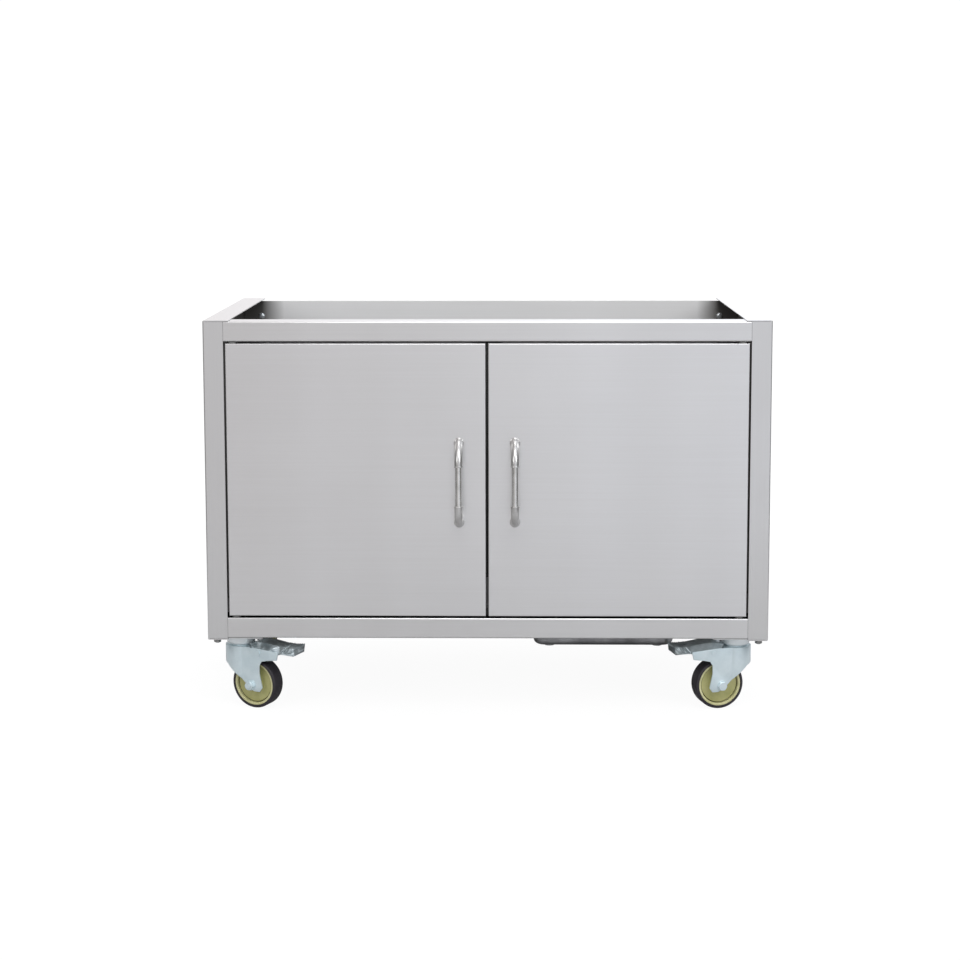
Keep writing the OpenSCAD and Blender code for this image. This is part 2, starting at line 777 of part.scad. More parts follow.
// Wheel: a hub with a raised ring under the tyre
module hub() {
    bore = sleeve_r + running_gap;
    half_outline = [
        [bore, leg_inner - 1], [hub_boss_r, leg_inner - 1], [hub_boss_r + 1.5, hub_disc_y],
        [hub_groove_r, hub_disc_y], [hub_groove_r, hub_groove_y], [hub_rim_r, hub_groove_y],
        [hub_rim_r, hub_rim_y - 1], [hub_rim_r + 1, hub_rim_y], [hub_r, hub_rim_y]
    ];
    last = len(half_outline) - 1;
    other_half = [for (i = [last : -1 : 0]) [half_outline[i].x, -half_outline[i].y]];
    color(hub_olive) translate([trail, 0, axle_z]) rotate([90, 0, 0])
        rotate_extrude() polygon(concat(half_outline, other_half));
}
module tyre() {
    shoulder_y = tyre_half_w - tyre_shoulder;
    color(tyre_black) translate([trail, 0, axle_z]) rotate([90, 0, 0]) rotate_extrude() intersection() {
        translate([hub_r, -tyre_half_w]) square([wheel_r - hub_r, 2 * tyre_half_w]);
        union() {
            translate([hub_r - over, -tyre_half_w])
                square([wheel_r - tyre_shoulder - hub_r + over, 2 * tyre_half_w]);
            translate([hub_r - over, -shoulder_y]) square([wheel_r - hub_r + over, 2 * shoulder_y]);
            for (y = [-shoulder_y, shoulder_y])
                translate([wheel_r - tyre_shoulder, y]) circle(tyre_shoulder);
        }
    }
}

// Brake pedal: a channel between the legs with a ribbed paddle and a shoe above the tyre
function lowered(points, drop) = [for (i = [len(points) - 1 : -1 : 0]) points[i] - [0, drop]];
function top_at(x) = lookup(x, pedal_top);
module pedal_sheet(points) {
    polygon(concat(points, lowered(points, pedal_t)));
}
module pedal_walls(half) {
    for (side = [0, 1]) mirror([0, side, 0]) translate([0, half - pedal_t / 2, 0]) across_y(pedal_t / 2)
        children();
}
module brake_pedal() {
    paddle_top = [[paddle_x, top_at(paddle_x)], pedal_top[4], pedal_top[5]];
    tip = [pedal_top[5], pedal_edge[0], pedal_edge[0] + [-2, 0.3], pedal_top[5] + [-2.4, -1.2]];
    tread_x = [for (i = [0 : tread_count - 1]) tread_start + i * tread_pitch];
    color(pressed_dark) difference() {
        union() {
            across_y(pedal_half_w) pedal_sheet(pedal_top);
            pedal_walls(pedal_half_w) polygon(concat(pedal_top, pedal_edge));
            across_y(paddle_half_w) pedal_sheet(paddle_top);
            pedal_walls(paddle_half_w)
                polygon(concat(paddle_top, [pedal_edge[0], pedal_edge[1], [paddle_x, paddle_side_z]]));
            across_y(paddle_half_w) polygon(tip);
            translate([shoe_x, -pedal_half_w + 1, shoe_bottom])
                cube([3, 2 * pedal_half_w - 2, top_at(shoe_x) - shoe_bottom - 1]);
            for (x = tread_x) {
                translate([x, -paddle_half_w, top_at(x) - 1]) cube([tread_w, 2 * paddle_half_w, 1 + tread_h]);
                translate([x, 0, top_at(x) + tread_h]) pedal_walls(paddle_half_w + tread_h)
                    polygon([[0, 0], [tread_w, 0], [tread_w, 0] - tread_side, -tread_side]);
            }
        }
        translate([pedal_pin.x, 0, pedal_pin.y]) across_y(pedal_half_w + over)
            circle(pedal_pin_r + running_gap);
        translate([pedal_hole.x, 0, top_at(pedal_hole.x) - pedal_t]) rotate(180)
            linear_extrude(2 * pedal_t) circle(pedal_hole.y, $fn = 3);
    }
}
module pedal_pin() {
    head = [4, 1.2];
    color(zinc) translate([pedal_pin.x, 0, pedal_pin.y]) {
        across_y(fork_half_w + head.y) circle(pedal_pin_r);
        for (side = [0, 1]) mirror([0, side, 0]) translate([0, fork_half_w, 0]) rotate([-90, 0, 0])
            cylinder(h = head.y, r = head.x);
    }
}

placed() left_panel();  // left_side_panel
left_hand() left_panel();  // right_side_panel
back_panel();
floor_panel();
front_top_rail();
front_bottom_rail();
tank_pan();
pan_screws();
back_panel_bolts();
back_panel_nuts();
floor_bolts();
floor_flange_nuts();
hinge_bushes();
catch_housings();
catch_magnets();
caster_plate_bolts();
caster_plate_nuts();
caster_kingpins();
left_hand() door_skin();  // left_door_skin
left_hand() door_liner();  // left_door_liner
left_hand() door_pivots();  // left_door_pivots
left_hand() door_strikes();  // left_door_strikes
left_hand() handle_rod();  // left_handle_rod
left_hand() handle_ends();  // left_handle_ends
left_hand() handle_screws();  // left_handle_screws
right_hand() door_skin();  // right_door_skin
right_hand() door_liner();  // right_door_liner
right_hand() door_pivots();  // right_door_pivots
right_hand() door_strikes();  // right_door_strikes
right_hand() handle_rod();  // right_handle_rod
right_hand() handle_ends();  // right_handle_ends
right_hand() handle_screws();  // right_handle_screws
front_left(0) caster_plate();  // front_left_caster_plate
front_left() fork();  // front_left_fork
front_left() axle();  // front_left_axle
front_left() hub();  // front_left_hub
front_left() tyre();  // front_left_tyre
front_left() brake_pedal();  // front_left_brake_pedal
front_left() pedal_pin();  // front_left_pedal_pin
front_right(0) caster_plate();  // front_right_caster_plate
front_right() fork();  // front_right_fork
front_right() axle();  // front_right_axle
front_right() hub();  // front_right_hub
front_right() tyre();  // front_right_tyre
front_right() brake_pedal();  // front_right_brake_pedal
front_right() pedal_pin();  // front_right_pedal_pin
rear_left(0) caster_plate();  // rear_left_caster_plate
rear_left() fork();  // rear_left_fork
rear_left() axle();  // rear_left_axle
rear_left() hub();  // rear_left_hub
rear_left() tyre();  // rear_left_tyre
rear_left() brake_pedal();  // rear_left_brake_pedal
rear_left() pedal_pin();  // rear_left_pedal_pin
rear_right(0) caster_plate();  // rear_right_caster_plate
rear_right() fork();  // rear_right_fork
rear_right() axle();  // rear_right_axle
rear_right() hub();  // rear_right_hub
rear_right() tyre();  // rear_right_tyre
rear_right() brake_pedal();  // rear_right_brake_pedal
rear_right() pedal_pin();  // rear_right_pedal_pin
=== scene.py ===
# %% [markdown]
# # A grill base cabinet in folded stainless steel
# The cabinet arrives as an exact engineering model: folded sheets, doors on pins and four swivel
# casters, each piece its own object. This notebook dresses that model. Most sheets keep their exact
# shape and only need a finish, while castings, pressings, wheels and fasteners are modelled again here
# with the small roundings and details that make metal and rubber look real.

# %% Load the cabinet
import json
import math

import bmesh
import bpy
from mathutils import Matrix, Vector


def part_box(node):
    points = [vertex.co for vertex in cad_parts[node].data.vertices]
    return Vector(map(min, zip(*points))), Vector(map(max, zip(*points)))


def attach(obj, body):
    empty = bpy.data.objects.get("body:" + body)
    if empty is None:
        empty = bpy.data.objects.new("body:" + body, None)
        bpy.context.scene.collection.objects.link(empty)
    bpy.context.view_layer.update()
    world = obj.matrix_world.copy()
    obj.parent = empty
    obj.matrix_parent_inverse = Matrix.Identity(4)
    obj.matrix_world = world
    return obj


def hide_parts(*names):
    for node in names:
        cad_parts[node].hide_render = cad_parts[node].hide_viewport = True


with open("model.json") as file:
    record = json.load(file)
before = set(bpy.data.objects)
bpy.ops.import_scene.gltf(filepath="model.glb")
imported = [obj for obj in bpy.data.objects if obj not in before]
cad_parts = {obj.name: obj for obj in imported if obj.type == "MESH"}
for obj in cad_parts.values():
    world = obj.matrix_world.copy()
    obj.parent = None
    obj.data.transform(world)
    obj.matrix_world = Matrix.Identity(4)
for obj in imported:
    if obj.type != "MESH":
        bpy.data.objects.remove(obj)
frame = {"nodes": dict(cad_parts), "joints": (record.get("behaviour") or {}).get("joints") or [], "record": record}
nodes = frame["nodes"]
joints = {joint["name"]: joint for joint in frame["joints"]}
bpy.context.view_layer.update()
MM = 0.001

# %% [markdown]
# ## Camera
# A product photo like this one is taken from a little above, so the open top shows. A camera tilted down
# until the cabinet is in the middle would make its upright edges lean together. This one stands three
# metres in front with a long lens, looks only slightly down, and moves the picture with a vertical lens
# shift, as a view camera does, so upright edges stay nearly parallel.

# %% The camera, in metres and radians
CAMERA_AT = Vector((0.04007, -3.13013, 0.89392))
LOOKS_DOWN = 0.11127
TURNS_LEFT = 0.01715
LEANS = 0.00192
FOCAL_PIXELS = 1883.99
PICTURE_PIXELS = 960
AXIS_ABOVE_MIDDLE = 120
SENSOR_MM = 36

camera_data = bpy.data.cameras.new("product_camera")
camera_data.sensor_width = SENSOR_MM
camera_data.lens = SENSOR_MM * FOCAL_PIXELS / PICTURE_PIXELS
camera_data.shift_y = -AXIS_ABOVE_MIDDLE / PICTURE_PIXELS
camera = bpy.data.objects.new("product_camera", camera_data)
bpy.context.scene.collection.objects.link(camera)
camera.location = CAMERA_AT
camera.rotation_euler = (math.pi / 2 - LOOKS_DOWN, LEANS, TURNS_LEFT)
bpy.context.scene.camera = camera
print("lens", round(camera_data.lens, 2), "mm")

# %% [markdown]
# ## Light
# Brushed steel shows the room more than it shows itself, so the room matters as much as the finish. Walls
# could be built round the cabinet, but a world shader gives the same soft reflections with less noise.
# This one is a plain studio: brighter to the right and above, dark at the far sides, with a bright wall
# behind the cabinet that lights the flat tops. The camera itself sees pure white, which a Light Path node
# arranges, so the background stays clean whatever the reflections need. Three soft boxes, one overhead
# and one at each side, add the broad highlights.

# %% Small node helpers
def add_node(tree, kind, **settings):
    """Adds a shader node and sets its properties."""
    node = tree.nodes.new(kind)
    for name, value in settings.items():
        setattr(node, name, value)
    return node


def ramp(tree, source, low, high, to_low, to_high):
    """Maps a value from one range to another, clamped, and returns the output socket."""
    node = add_node(tree, "ShaderNodeMapRange")
    tree.links.new(source, node.inputs["Value"])
    for name, value in (("From Min", low), ("From Max", high), ("To Min", to_low), ("To Max", to_high)):
        node.inputs[name].default_value = value
    return node.outputs["Result"]


def calculate(tree, operation, first, second):
    """A Math node on two values, each a socket or a number."""
    node = add_node(tree, "ShaderNodeMath", operation=operation)
    for index, value in enumerate((first, second)):
        if isinstance(value, (int, float)):
            node.inputs[index].default_value = value
        else:
            tree.links.new(value, node.inputs[index])
    return node.outputs[0]


# %% World
world = bpy.data.worlds.new("soft_studio")
bpy.context.scene.world = world
world.use_nodes = True
sky = world.node_tree
sky.nodes.clear()
direction = add_node(sky, "ShaderNodeTexCoord")
looks = add_node(sky, "ShaderNodeSeparateXYZ")
sky.links.new(direction.outputs["Generated"], looks.inputs[0])
sweep_across = add_node(sky, "ShaderNodeValToRGB")
# Colours of the room from the far left to the far right
WALLS = [(0.0, (0.16, 0.16, 0.16)), (0.10, (0.27, 0.27, 0.27)), (0.24, (0.45, 0.44, 0.44)),
         (0.40, (0.56, 0.54, 0.545)), (0.50, (0.70, 0.705, 0.725)), (0.60, (0.75, 0.765, 0.815)),
         (0.78, (0.74, 0.76, 0.79)), (0.90, (0.32, 0.33, 0.34)), (1.0, (0.08, 0.08, 0.08))]
# Each from one direction to another, then the strength of the light at both
LOW_TO_HIGH = (-0.5, 0.9, 0.95, 1.42)
FRONT_TO_BACK = (0.1, 0.6, 1.0, 1.42)
PAPER_WHITE = 1.05
stops = sweep_across.color_ramp.elements
while len(stops) < len(WALLS):
    stops.new(0.5)
for stop, (place, colour) in zip(stops, WALLS):
    stop.position = place
    stop.color = (*colour, 1)
sky.links.new(ramp(sky, looks.outputs["X"], -1, 1, 0, 1), sweep_across.inputs["Fac"])
height_light = ramp(sky, looks.outputs["Z"], *LOW_TO_HIGH)
back_light = ramp(sky, looks.outputs["Y"], *FRONT_TO_BACK)
room = add_node(sky, "ShaderNodeBackground")
sky.links.new(sweep_across.outputs["Color"], room.inputs["Color"])
sky.links.new(calculate(sky, "MULTIPLY", height_light, back_light), room.inputs["Strength"])
paper = add_node(sky, "ShaderNodeBackground")
paper.inputs["Color"].default_value = (1, 1, 1, 1)
paper.inputs["Strength"].default_value = PAPER_WHITE
seen_by = add_node(sky, "ShaderNodeLightPath")
choose = add_node(sky, "ShaderNodeMixShader")
sky.links.new(seen_by.outputs["Is Camera Ray"], choose.inputs[0])
sky.links.new(room.outputs[0], choose.inputs[1])
sky.links.new(paper.outputs[0], choose.inputs[2])
sky_out = add_node(sky, "ShaderNodeOutputWorld")
sky.links.new(choose.outputs[0], sky_out.inputs["Surface"])
bpy.context.scene.view_settings.view_transform = "Standard"
print("studio of", len(WALLS), "wall colours")

# %% Lamps
BOX_SIZE = 1.2


def soft_box(name, place, target, watts):
    """A square area light that faces its target."""
    data = bpy.data.lights.new(name, "AREA")
    data.size = BOX_SIZE
    data.energy = watts
    lamp = bpy.data.objects.new(name, data)
    bpy.context.scene.collection.objects.link(lamp)
    lamp.location = place
    lamp.rotation_euler = (Vector(target) - Vector(place)).to_track_quat("-Z", "Y").to_euler()


soft_box("overhead_box", (0.1, -1.5, 2.5), (0, 0.1, 0.4), 16)
soft_box("right_box", (2.4, -2.6, 1.9), (0, 0, 0.3), 19)
soft_box("left_box", (-2.4, -2.6, 1.6), (0, 0, 0.2), 13)

# %% [markdown]
# ## Floor
# A pale floor takes the soft shadows of the wheels. It is staging, not part of the cabinet. White paint
# would flood the underside of the cabinet with light, so the paint is a mid grey that glows for the
# camera only, which brings it up to the white of the background.

# %% Floor
FLOOR_HALF = 1.3
FLOOR_GREY, FLOOR_ROUGHNESS = (0.52, 0.52, 0.52, 1), 0.9
GLOW_STRENGTH, GLOW_SHARE = 1.12, 0.84
floor_mesh = bpy.data.meshes.new("studio_floor")
floor_corners = [(x * FLOOR_HALF, y * FLOOR_HALF, 0) for x, y in ((-1, -1), (1, -1), (1, 1), (-1, 1))]
floor_mesh.from_pydata(floor_corners, [], [(0, 1, 2, 3)])
floor = bpy.data.objects.new("studio_floor", floor_mesh)
bpy.context.scene.collection.objects.link(floor)
floor_paint = bpy.data.materials.new("floor_paint")
floor_paint.use_nodes = True
paint = floor_paint.node_tree
matt = paint.nodes["Principled BSDF"]
matt.inputs["Base Color"].default_value = FLOOR_GREY
matt.inputs["Roughness"].default_value = FLOOR_ROUGHNESS
glow = add_node(paint, "ShaderNodeEmission")
glow.inputs["Strength"].default_value = GLOW_STRENGTH
to_camera = add_node(paint, "ShaderNodeLightPath")
mixed_floor = add_node(paint, "ShaderNodeMixShader")
camera_glow = calculate(paint, "MULTIPLY", to_camera.outputs["Is Camera Ray"], GLOW_SHARE)
paint.links.new(camera_glow, mixed_floor.inputs[0])
paint.links.new(matt.outputs[0], mixed_floor.inputs[1])
paint.links.new(glow.outputs[0], mixed_floor.inputs[2])
paint.links.new(mixed_floor.outputs[0], paint.nodes["Material Output"].inputs["Surface"])
floor_mesh.materials.append(floor_paint)
print("floor", 2 * FLOOR_HALF, "m square")

# %% [markdown]
# ## Shader groups
# Several finishes share the same effects, so each effect is a node group with its own inputs. The grain
# of brushed steel is fine noise drawn out to eighty times its width, with slow bands beside it. Handling
# marks are a cloudy noise that only touches the roughness, and two tone blends a dark and a light colour.
# An image of real steel could give the grain too, but it needs a UV map on every sheet. The noise reads
# Object coordinates instead, so it stays put on the metal when a door swings or a wheel turns.

# %% Group helpers
VECTOR, FLOAT, COLOUR = "NodeSocketVector", "NodeSocketFloat", "NodeSocketColor"


def srgb(red, green, blue):
    """Linear colour of a screen colour given in 0 to 255."""
    def linear(value):
        value = value / 255
        return value / 12.92 if value <= 0.04045 else ((value + 0.055) / 1.055) ** 2.4
    return (linear(red), linear(green), linear(blue), 1.0)


def start_group(name, inputs, outputs):
    """A shader node group with named sockets; returns it with its inner input and output nodes."""
    group = bpy.data.node_groups.new(name, "ShaderNodeTree")
    for socket, kind, default in inputs:
        made = group.interface.new_socket(socket, in_out="INPUT", socket_type=kind)
        made.default_value = default
    for socket, kind in outputs:
        group.interface.new_socket(socket, in_out="OUTPUT", socket_type=kind)
    return group, add_node(group, "NodeGroupInput"), add_node(group, "NodeGroupOutput")


def noise_at(tree, vector, scale=1.0, detail=2.0, roughness=0.5):
    """Noise texture on a vector socket; returns its value output."""
    node = add_node(tree, "ShaderNodeTexNoise")
    tree.links.new(vector, node.inputs["Vector"])
    node.inputs["Scale"].default_value = scale
    node.inputs["Detail"].default_value = detail
    node.inputs["Roughness"].default_value = roughness
    return node.outputs["Fac"]


UNSCALED = (1.0, 1.0, 1.0)


def scaled_place(tree, factors):
    """Object coordinates stretched by three factors, or by a vector socket."""
    place = add_node(tree, "ShaderNodeTexCoord")
    stretch = add_node(tree, "ShaderNodeVectorMath", operation="MULTIPLY")
    tree.links.new(place.outputs["Object"], stretch.inputs[0])
    if isinstance(factors, tuple):
        stretch.inputs[1].default_value = factors
    else:
        tree.links.new(factors, stretch.inputs[1])
    return stretch.outputs[0]


def object_axes(tree):
    """The three Object coordinates, as the outputs of a Separate XYZ node."""
    place = add_node(tree, "ShaderNodeTexCoord")
    axes = add_node(tree, "ShaderNodeSeparateXYZ")
    tree.links.new(place.outputs["Object"], axes.inputs[0])
    return axes


# %% Grain
grain_group, grain_in, grain_out = start_group(
    "brushed_grain",
    [("Stretch", VECTOR, UNSCALED), ("Band Stretch", VECTOR, UNSCALED)],
    [("Lines", FLOAT), ("Bands", FLOAT)])
fine = noise_at(grain_group, scaled_place(grain_group, grain_in.outputs["Stretch"]))
grain_group.links.new(fine, grain_out.inputs["Lines"])
slow = noise_at(grain_group, scaled_place(grain_group, grain_in.outputs["Band Stretch"]), detail=1.0)
grain_group.links.new(slow, grain_out.inputs["Bands"])

# %% Handling marks
CLOUD_DETAIL, CLOUD_ROUGHNESS = 4.0, 0.6
CLOUD_LOW, CLOUD_HIGH = 0.35, 0.65
MARKS_SCALE = 6.0
marks_group, marks_in, marks_out = start_group(
    "handling_marks", [("Low", FLOAT, 0.25), ("High", FLOAT, 0.35)], [("Roughness", FLOAT)])
marks = noise_at(marks_group, scaled_place(marks_group, UNSCALED), MARKS_SCALE, CLOUD_DETAIL,
                 CLOUD_ROUGHNESS)
spread = add_node(marks_group, "ShaderNodeMapRange")
marks_group.links.new(marks, spread.inputs["Value"])
spread.inputs["From Min"].default_value = CLOUD_LOW
spread.inputs["From Max"].default_value = CLOUD_HIGH
marks_group.links.new(marks_in.outputs["Low"], spread.inputs["To Min"])
marks_group.links.new(marks_in.outputs["High"], spread.inputs["To Max"])
marks_group.links.new(spread.outputs["Result"], marks_out.inputs["Roughness"])

# %% Two tones
# A Mix node has many sockets of the same names, so those for colour are found by number
MIX_DARK, MIX_LIGHT, MIX_RESULT = 6, 7, 2
tone_group, tone_in, tone_out = start_group(
    "two_tone", [("Amount", FLOAT, 0.5), ("Dark", COLOUR, (0, 0, 0, 1)), ("Light", COLOUR, (1, 1, 1, 1))],
    [("Color", COLOUR)])
blend_tone = add_node(tone_group, "ShaderNodeMix", data_type="RGBA")
tone_group.links.new(tone_in.outputs["Amount"], blend_tone.inputs[0])
tone_group.links.new(tone_in.outputs["Dark"], blend_tone.inputs[MIX_DARK])
tone_group.links.new(tone_in.outputs["Light"], blend_tone.inputs[MIX_LIGHT])
tone_group.links.new(blend_tone.outputs[MIX_RESULT], tone_out.inputs["Color"])

# %% [markdown]
# ## The sheets' inner side and painted shade
# A sheet is brushed on its outer side only. The inner side keeps the dull skin of the rolling mill, and its
# dark grey tone is painted shade, which makes the gaps beside the doors and the inside walls dark. The two
# sides could be told apart face by face, but an engineering model's mesh is left alone, so the next group
# finds the inner side from the place alone: it is whatever lies deeper than the skin inside the box of the
# outer faces. The door skins do without it, because their liners hide the inner side.

# %% Mill side, painted dark as shade
# A face of the box that a sheet doesn't have is set far away
FAR = 9.0
SKIN = 1.1 * MM
mill_shade_group, mill_shade_in, mill_shade_out = start_group(
    "mill_side",
    [("Half Width", FLOAT, FAR), ("Front", FLOAT, -FAR), ("Back", FLOAT, FAR), ("Bottom", FLOAT, -FAR),
     ("Top", FLOAT, FAR), ("Skin", FLOAT, SKIN)],
    [("Mask", FLOAT)])
axes = object_axes(mill_shade_group)
from_side = calculate(mill_shade_group, "SUBTRACT", mill_shade_in.outputs["Half Width"],
                      calculate(mill_shade_group, "ABSOLUTE", axes.outputs["X"], 0.0))
from_front = calculate(mill_shade_group, "SUBTRACT", axes.outputs["Y"], mill_shade_in.outputs["Front"])
from_back = calculate(mill_shade_group, "SUBTRACT", mill_shade_in.outputs["Back"], axes.outputs["Y"])
from_bottom = calculate(mill_shade_group, "SUBTRACT", axes.outputs["Z"], mill_shade_in.outputs["Bottom"])
from_top = calculate(mill_shade_group, "SUBTRACT", mill_shade_in.outputs["Top"], axes.outputs["Z"])
nearest = from_side
for distance in (from_front, from_back, from_bottom, from_top):
    nearest = calculate(mill_shade_group, "MINIMUM", nearest, distance)
# The mask marks the mill side, whose dark tone is painted shade
inside = calculate(mill_shade_group, "GREATER_THAN", nearest, mill_shade_in.outputs["Skin"])
mill_shade_group.links.new(inside, mill_shade_out.inputs["Mask"])
print(len(bpy.data.node_groups), "node groups")


# %% Material helpers
def start_material(name, metallic):
    """A material with its Principled shader; returns material, tree and shader."""
    material = bpy.data.materials.new(name)
    material.use_nodes = True
    tree = material.node_tree
    shader = tree.nodes["Principled BSDF"]
    shader.inputs["Metallic"].default_value = metallic
    return material, tree, shader


def place_group(tree, group, **values):
    """Puts a node group in a material and sets its inputs, whose names have spaces for underscores."""
    node = add_node(tree, "ShaderNodeGroup", node_tree=group)
    for name, value in values.items():
        node.inputs[name.replace("_", " ")].default_value = value
    return node


def two_tone(tree, amount, dark, light):
    """Colour between two tones, each a colour or a socket, by an amount socket."""
    node = place_group(tree, tone_group)
    tree.links.new(amount, node.inputs["Amount"])
    for name, tone in (("Dark", dark), ("Light", light)):
        if isinstance(tone, tuple):
            node.inputs[name].default_value = tone
        else:
            tree.links.new(tone, node.inputs[name])
    return node.outputs["Color"]


def raise_bumps(tree, shader, height, distance, strength):
    """Turns a height socket into the shader's normal."""
    bump = add_node(tree, "ShaderNodeBump")
    bump.inputs["Strength"].default_value = strength
    bump.inputs["Distance"].default_value = distance
    tree.links.new(height, bump.inputs["Height"])
    tree.links.new(bump.outputs["Normal"], shader.inputs["Normal"])


# %% [markdown]
# ## Finishes
# Doors, rails and back panel have their grain running across, the side panels have it running up. Light
# that falls on a brushed sheet is smeared at right angles to the grain. Bumps alone can't show that at
# this size, so the shader's anisotropy does it, and its tangent says which way. The tangent is given in
# the piece's own axes and then turned to the world's, so it swings with a door. The two tones of the grain
# lie close together, because what varies on real sheet is mostly the sheen. On the mill side the metal
# loses its shine and takes a plain dark tone, which is painted shade.

# %% Stainless sheet
LINE_SHARE, BAND_SHARE = 0.4, 0.6
SMEARED, MILL_ROUGHER = 0.65, 0.5
GRAIN_DEPTH, GRAIN_STRENGTH = 0.02 * MM, 0.06


def brushed_steel(name, dark, light, stretch, band_stretch, rough, smear, mill_side=None):
    """Brushed stainless steel with its grain along the axis scaled least, dull on its mill side and painted dark
    there as shade.
    """
    material, tree, shader = start_material(name, 1.0)
    grain = place_group(tree, grain_group, Stretch=stretch, Band_Stretch=band_stretch)
    lines = calculate(tree, "MULTIPLY", grain.outputs["Lines"], LINE_SHARE)
    bands = calculate(tree, "MULTIPLY", grain.outputs["Bands"], BAND_SHARE)
    steel = two_tone(tree, calculate(tree, "ADD", lines, bands), dark, light)
    sheen = place_group(tree, marks_group, Low=rough[0], High=rough[1]).outputs["Roughness"]
    if mill_side:
        # The mill side's dark tone is painted shade
        toned, dull, mill_and_shade_tone = mill_side(tree)
        steel = two_tone(tree, toned, steel, mill_and_shade_tone)
        sheen = calculate(tree, "ADD", sheen, calculate(tree, "MULTIPLY", dull, MILL_ROUGHER))
        tree.links.new(calculate(tree, "SUBTRACT", 1.0, dull), shader.inputs["Metallic"])
    tree.links.new(steel, shader.inputs["Base Color"])
    tree.links.new(sheen, shader.inputs["Roughness"])
    shader.inputs["Specular IOR Level"].default_value = 0.0
    shader.inputs["Anisotropic"].default_value = SMEARED
    along = add_node(tree, "ShaderNodeCombineXYZ")
    for socket, value in zip(along.inputs, smear):
        socket.default_value = value
    swung = add_node(tree, "ShaderNodeVectorTransform", vector_type="VECTOR", convert_from="OBJECT",
                     convert_to="WORLD")
    tree.links.new(along.outputs[0], swung.inputs[0])
    tree.links.new(swung.outputs[0], shader.inputs["Tangent"])
    raise_bumps(tree, shader, grain.outputs["Lines"], GRAIN_DEPTH, GRAIN_STRENGTH)
    return material


# %% Which side of each sheet is dull and painted dark as shade
# Painted shade: near black on the rails' inner side for the gaps, dark grey on the panels' inner side, darker
# still low on the back panel
PAINTED_GAP_SHADE, MILL_SKIN_AND_SHADE, PAINTED_DEEP_SHADE = srgb(24, 24, 24), srgb(98, 96, 94), srgb(62, 61, 60)
panel_low, panel_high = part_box("left_side_panel")
rail_low, rail_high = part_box("front_top_rail")
back_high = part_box("back_panel")[1]


def inside_shell(tone, **shell):
    """Mill side of a sheet that wraps a box, painted dark as shade. It gives masks for tone and lost shine, and
    the tone.
    """
    def mill_side(tree):
        mask = place_group(tree, mill_shade_group, **shell).outputs["Mask"]
        return mask, mask, tone
    return mill_side


# Distances in from the back panel's outer face, its top edge and its two side bends, where its painted shade
# begins and ends
BACK_SKIN, LIT_DOWN_TO, SHADED_BELOW = 1.8 * MM, 36 * MM, 68 * MM
LIT_FROM_BEND, SHADED_AT_BEND = 72 * MM, 32 * MM
SHINE_LOST = 0.95


def back_inside_with_painted_shade(tree):
    """Mill side of the back panel: pale along its top edge, with painted shade below and in the corners under the
    flanges.
    """
    axes = object_axes(tree)
    inner = calculate(tree, "LESS_THAN", axes.outputs["Y"], back_high.y - BACK_SKIN)
    downward_shade = ramp(tree, axes.outputs["Z"], back_high.z - LIT_DOWN_TO, back_high.z - SHADED_BELOW, 0, 1)
    aside = calculate(tree, "ABSOLUTE", axes.outputs["X"], 0.0)
    flange_shadow_ramp = ramp(tree, aside, back_high.x - LIT_FROM_BEND, back_high.x - SHADED_AT_BEND, 0, 1)
    # Painted shade: darker lower down and towards the side bends, where the flanges' shadow falls
    toned = calculate(tree, "MULTIPLY", inner, calculate(tree, "MAXIMUM", downward_shade, flange_shadow_ramp))
    dull = calculate(tree, "MULTIPLY", inner, SHINE_LOST)
    return toned, dull, two_tone(tree, downward_shade, MILL_SKIN_AND_SHADE, PAINTED_DEEP_SHADE)


# Painted shade on the inner side of the side panels and rails
panel_shell = inside_shell(MILL_SKIN_AND_SHADE, Half_Width=-panel_low.x, Front=panel_low.y, Back=panel_high.y,
                           Bottom=panel_low.z, Top=panel_high.z)
rail_shell = inside_shell(PAINTED_GAP_SHADE, Front=rail_low.y, Top=rail_high.z)

# %% The four sheet finishes
ACROSS, UP = (4.0, 320.0, 320.0), (320.0, 320.0, 4.0)
SMEAR_UP, SMEAR_ACROSS = (0.0, 0.05, 1.0), (0.05, 1.0, 0.0)
ACROSS_BANDS, UP_BANDS = (9.0, 0.2, 0.25), (0.5, 0.5, 2.0)
door_steel = brushed_steel("door_steel", srgb(219, 218, 217), srgb(231, 231, 232), ACROSS, ACROSS_BANDS,
                           (0.285, 0.34), SMEAR_UP)
rail_steel = brushed_steel("rail_steel", srgb(214, 213, 212), srgb(228, 228, 228), ACROSS, ACROSS_BANDS,
                           (0.285, 0.345), SMEAR_UP, rail_shell)
side_steel = brushed_steel("side_steel", srgb(219, 218, 217), srgb(231, 231, 231), UP, UP_BANDS,
                           (0.285, 0.345), SMEAR_ACROSS, panel_shell)
# The back panel's tones are lighter than the other sheets' as painted light inside the cabinet
back_steel = brushed_steel("back_steel", srgb(232, 232, 231), srgb(243, 243, 243), ACROSS, ACROSS_BANDS,
                           (0.42, 0.50), SMEAR_UP, back_inside_with_painted_shade)
print("sheet finishes:", *[steel.name for steel in (door_steel, rail_steel, side_steel, back_steel)])

# %% [markdown]
# ## Plating, castings and mouldings
# Zinc plate, cast steel, rubber and nylon are never one even colour. Each could be one flat tone with a
# bump, but that looks like toy plastic. So each mixes two close tones in a cloud of its own size, varies
# its sheen with the handling marks, and has the faint orange peel of a plated or moulded skin.

# %% Plated, cast and moulded finishes
PEEL_SCALE, PEEL_DEPTH, PEEL_STRENGTH = 900.0, 0.08 * MM, 0.3


